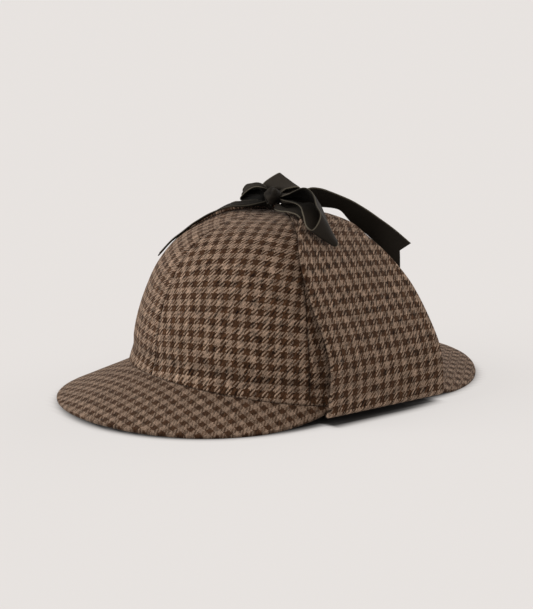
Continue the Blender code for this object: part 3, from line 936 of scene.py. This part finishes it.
def make_knot(settings):
    """The tape wrapped once round the middle of the bow."""
    centre = Vector((0.0, 0.0, CROWN_TOP)) + Vector(KNOT_CENTRE)
    around, across = KNOT_GRID
    build = bmesh.new()
    uv_layer = build.loops.layers.uv.new("cloth")
    painted_shade_layer = build.verts.layers.float.new("crease")
    rings = []
    for j in range(across + 1):
        share = 2.0 * j / across - 1.0
        barrel = sqrt(max(1.0 - abs(share) ** KNOT_BARREL, 0.0))
        ring = []
        for i in range(around):
            angle = 2 * pi * i / around
            lump = noise.noise(Vector((share * 1.6, cos(angle) * 1.3, sin(angle) * 1.3)))
            fold = KNOT_FOLD * cos(share * 6.5 + 1.6 * sin(angle + 0.5)) + KNOT_LUMP * lump
            reach = barrel * (0.95 + fold)
            offset = Vector((share * KNOT_HALF_SIZE[0], reach * cos(angle) * KNOT_HALF_SIZE[1],
                             reach * sin(angle) * KNOT_HALF_SIZE[2]))
            vertex = build.verts.new((centre + offset - MIDDLE) * MM)
            # painted shade over the whole knot, deepest in its folds
            vertex[painted_shade_layer] = clamp(0.25 - 4.0 * fold)
            ring.append(vertex)
            if j in (0, across):
                break
        rings.append(ring)
    for j in range(across):
        low, high = rings[j], rings[j + 1]
        for i in range(around):
            corners = [(low, i, 0), (low, i + 1, 0), (high, i + 1, 1), (high, i, 1)]
            if len(low) == 1:
                del corners[1]
            elif len(high) == 1:
                del corners[2]
            face = build.faces.new([ring[turned % len(ring)] for ring, turned, _ in corners])
            face.smooth = True
            for loop, (_, turned, row) in zip(face.loops, corners):
                loop[uv_layer].uv = ((2.0 * (j + row) / across - 1.0) * KNOT_TAPE[0] * MM,
                                     turned / around * KNOT_TAPE[1] * MM)
    add_piece("knot_tape", finished_mesh("knot_tape", build), tape(settings), ("bow_knot",))


# ---- stage

def camera_axes():
    """The camera's right, up and backward directions."""
    right = Vector((cos(CAMERA_TURN), sin(CAMERA_TURN), 0.0))
    level = Vector((sin(CAMERA_TURN), -cos(CAMERA_TURN), 0.0))
    back = level * cos(CAMERA_RISE) + Vector((0.0, 0.0, sin(CAMERA_RISE)))
    return right, back.cross(right), back


def direction_of(point):
    """The direction of a point, seen from above, with as many to a full turn as DIRECTIONS says."""
    return degrees(atan2(point.y, point.x)) / (360.0 / DIRECTIONS)


def footprint(samples=360):
    """How far the hat reaches from its axis in each direction, seen from above."""
    reach = [0.0] * DIRECTIONS

    def note(point):
        direction = int(direction_of(point)) % DIRECTIONS
        reach[direction] = max(reach[direction], hypot(point.x, point.y))

    for number in range(4 * samples):
        note(hem_point(number * pi / (2 * samples)))
    for peak in (FRONT_PEAK, BACK_PEAK):
        for number in range(2 * samples + 1):
            note(peak_point(peak, number / samples - 1, 1.0))
    for number in range(samples + 1):
        share = number / samples
        y = mix(FLAP_OUTLINE[0].front, FLAP_OUTLINE[0].back, share)
        drawn_in = FLAP_DRAWN_IN * max(2.0 * share - 1.0, 0.0) ** 2
        for side in (1, -1):
            note(Vector((side * (FLAP_FOLD_X + FLAP_FOLD_RADIUS + FLAP_WALL / 2 - drawn_in), y, 0.0)))
    return reach


def make_floor(settings):
    """A wide pale floor; its 'lit' attribute falls to 0 under the hat, where a painted shadow darkens its
    paper and cuts off its glow.
    """
    lines = [-line for line in reversed(FLOOR_LINES)] + list(range(-260, 261, 4)) + list(FLOOR_LINES)
    reach = footprint()
    soft = settings.shade_softness / MM
    build = bmesh.new()
    lit_layer = build.verts.layers.float.new("lit")
    grid = []
    for y in lines:
        grid.append([])
        for x in lines:
            vertex = build.verts.new(Vector((x, y, 0.0)) * MM)
            spot = vertex.co / MM + MIDDLE
            direction = direction_of(spot)
            low = floor(direction)
            rim = mix(reach[low % DIRECTIONS], reach[(low + 1) % DIRECTIONS], direction - low)
            vertex[lit_layer] = smooth_step(-soft, soft, hypot(spot.x, spot.y) - rim)
            grid[-1].append(vertex)
    for j in range(len(lines) - 1):
        for i in range(len(lines) - 1):
            build.faces.new([grid[j][i], grid[j][i + 1], grid[j + 1][i + 1], grid[j + 1][i]])
    mesh = finished_mesh("floor", build)
    nodes = Nodes("floor_paper")
    # Painted shadow: under the hat the paper is darkened and its glow cut off, on top of the shade that the
    # hat casts.
    lit = nodes.attribute("lit")
    paper = nodes.shade(PAPER, lit * (1.0 - PAINTED_SHADOW_LEVEL) + PAINTED_SHADOW_LEVEL)
    nodes.fill(nodes.shader, {"Base Color": paper, "Roughness": 1.0, "Specular IOR Level": 0.0})
    glow = nodes.add("Emission", {}, {"Color": opaque(settings.backdrop), "Strength": 1.0})
    both = nodes.add("MixShader", {}, {0: lit * GLOW, 1: Signal(nodes, nodes.shader.outputs[0]), 2: glow})
    nodes.tree.links.new(both.socket, nodes.tree.nodes["Material Output"].inputs[0])
    mesh.materials.append(nodes.material)
    add_object("floor", mesh)


def make_lights(settings):
    """The light from all around, and two large soft lights."""
    scene = bpy.context.scene
    scene.world = bpy.data.worlds.new("studio")
    scene.world.use_nodes = True
    background = scene.world.node_tree.nodes["Background"]
    background.inputs["Color"].default_value = opaque(settings.backdrop)
    background.inputs["Strength"].default_value = settings.ambient
    scene.view_settings.view_transform = 'Standard'
    scene.view_settings.look = 'None'
    right, up, back = camera_axes()
    for (name, (x, y, z)), strength in zip(LAMPS.items(), (settings.key, settings.rim)):
        lamp = bpy.data.lights.new(name, 'SUN')
        lamp.energy = strength
        lamp.angle = settings.spread
        towards = right * x + up * y + back * z
        add_object(name, lamp).rotation_euler = towards.to_track_quat('Z', 'Y').to_euler()


def make_camera():
    """The camera from which the photograph was taken."""
    right, up, back = camera_axes()
    aim = CAMERA_AIM - MIDDLE + right * CAMERA_SLIDE
    lens = bpy.data.cameras.new("camera")
    lens.lens = CAMERA_LENS
    lens.clip_start = 0.05
    lens.clip_end = 100.0
    camera = add_object("camera", lens)
    turn = Matrix((right, up, back)).transposed().to_4x4()
    camera.matrix_world = Matrix.Translation((aim + back * CAMERA_DISTANCE) * MM) @ turn
    bpy.context.scene.camera = camera


# ---- operators

class HAT_OT_stage(bpy.types.Operator):
    """Make the floor, the soft studio light and the camera"""
    bl_idname = "hat.stage"
    bl_label = "Stage"

    def execute(self, context):
        make_floor(context.scene.hat_stage)
        make_lights(context.scene.hat_stage)
        make_camera()
        return {'FINISHED'}


class HAT_OT_crown(bpy.types.Operator):
    """Make the six cloth panels of the crown"""
    bl_idname = "hat.crown"
    bl_label = "Crown"

    def execute(self, context):
        for number in range(1, PANELS + 1):
            make_crown_panel(number, context.scene.hat_wool)
        return {'FINISHED'}


class HAT_OT_peaks(bpy.types.Operator):
    """Make the front and the back peak"""
    bl_idname = "hat.peaks"
    bl_label = "Peaks"

    def execute(self, context):
        for node, peak in (("front_peak", FRONT_PEAK), ("back_peak", BACK_PEAK)):
            make_peak(node + "_cloth", node, peak, context.scene.hat_wool)
        return {'FINISHED'}


class HAT_OT_flaps(bpy.types.Operator):
    """Make the two ear flaps, turned up against the crown"""
    bl_idname = "hat.flaps"
    bl_label = "Ear Flaps"

    def execute(self, context):
        for name, side in (("left", 1), ("right", -1)):
            make_flap("ear_flap_cloth_" + name, "ear_flap_" + name, side, context.scene.hat_wool)
        return {'FINISHED'}


class HAT_OT_bow(bpy.types.Operator):
    """Make the tie straps, the loops, the tails and the knot of the bow"""
    bl_idname = "hat.bow"
    bl_label = "Bow"

    def execute(self, context):
        settings = context.scene.hat_tape
        for side in ("left", "right"):
            make_ribbon("strap_tape_" + side, "tie_strap_" + side, STRAP, settings, "laid",
                        mirror=side == "right")
        # Painted shade inside the loops and on the front tail; painted light inside the end of the left loop
        # and on the back loop.
        make_ribbon("loop_tape_left", "bow_loop_left", LOOP_LEFT, settings, "folded", inner=1, pocket=1.6)
        make_ribbon("loop_tape_right", "bow_loop_right", LOOP_RIGHT, settings, "folded", inner=-1)
        make_ribbon("loop_tape_back", "bow_loop_back", LOOP_BACK, settings, "folded", painted_shade=-0.6)
        make_ribbon("tail_tape_front", "bow_tail_front", TAIL_FRONT, settings, "laid", notch=True,
                    painted_shade=0.45)
        make_ribbon("tail_tape_back", "bow_tail_back", TAIL_BACK, settings, "laid", notch=True)
        make_knot(settings)
        return {'FINISHED'}


class HAT_PT_panel(bpy.types.Panel):
    """The hat's pieces, in the order in which they are made"""
    bl_label = "Deerstalker Hat"
    bl_idname = "HAT_PT_panel"
    bl_space_type = 'VIEW_3D'
    bl_region_type = 'UI'
    bl_category = "Hat"

    def draw(self, context):
        for group in SETTINGS:
            box = self.layout.box()
            settings = getattr(context.scene, group)
            for name in settings.__annotations__:
                box.prop(settings, name)
        for operator in OPERATORS:
            self.layout.operator(operator.bl_idname)


SETTINGS = {"hat_wool": HatWool, "hat_tape": HatTape, "hat_stage": HatStage}
OPERATORS = (HAT_OT_stage, HAT_OT_crown, HAT_OT_peaks, HAT_OT_flaps, HAT_OT_bow)
CLASSES = tuple(SETTINGS.values()) + OPERATORS + (HAT_PT_panel,)


def register():
    for made in CLASSES:
        bpy.utils.register_class(made)
    for name, group in SETTINGS.items():
        setattr(bpy.types.Scene, name, PointerProperty(type=group))


def unregister():
    for name in SETTINGS:
        delattr(bpy.types.Scene, name)
    for made in reversed(CLASSES):
        bpy.utils.unregister_class(made)


def main():
    register()
    bpy.ops.hat.stage()
    bpy.ops.hat.crown()
    bpy.ops.hat.peaks()
    bpy.ops.hat.flaps()
    bpy.ops.hat.bow()


if __name__ == "__main__":
    main()
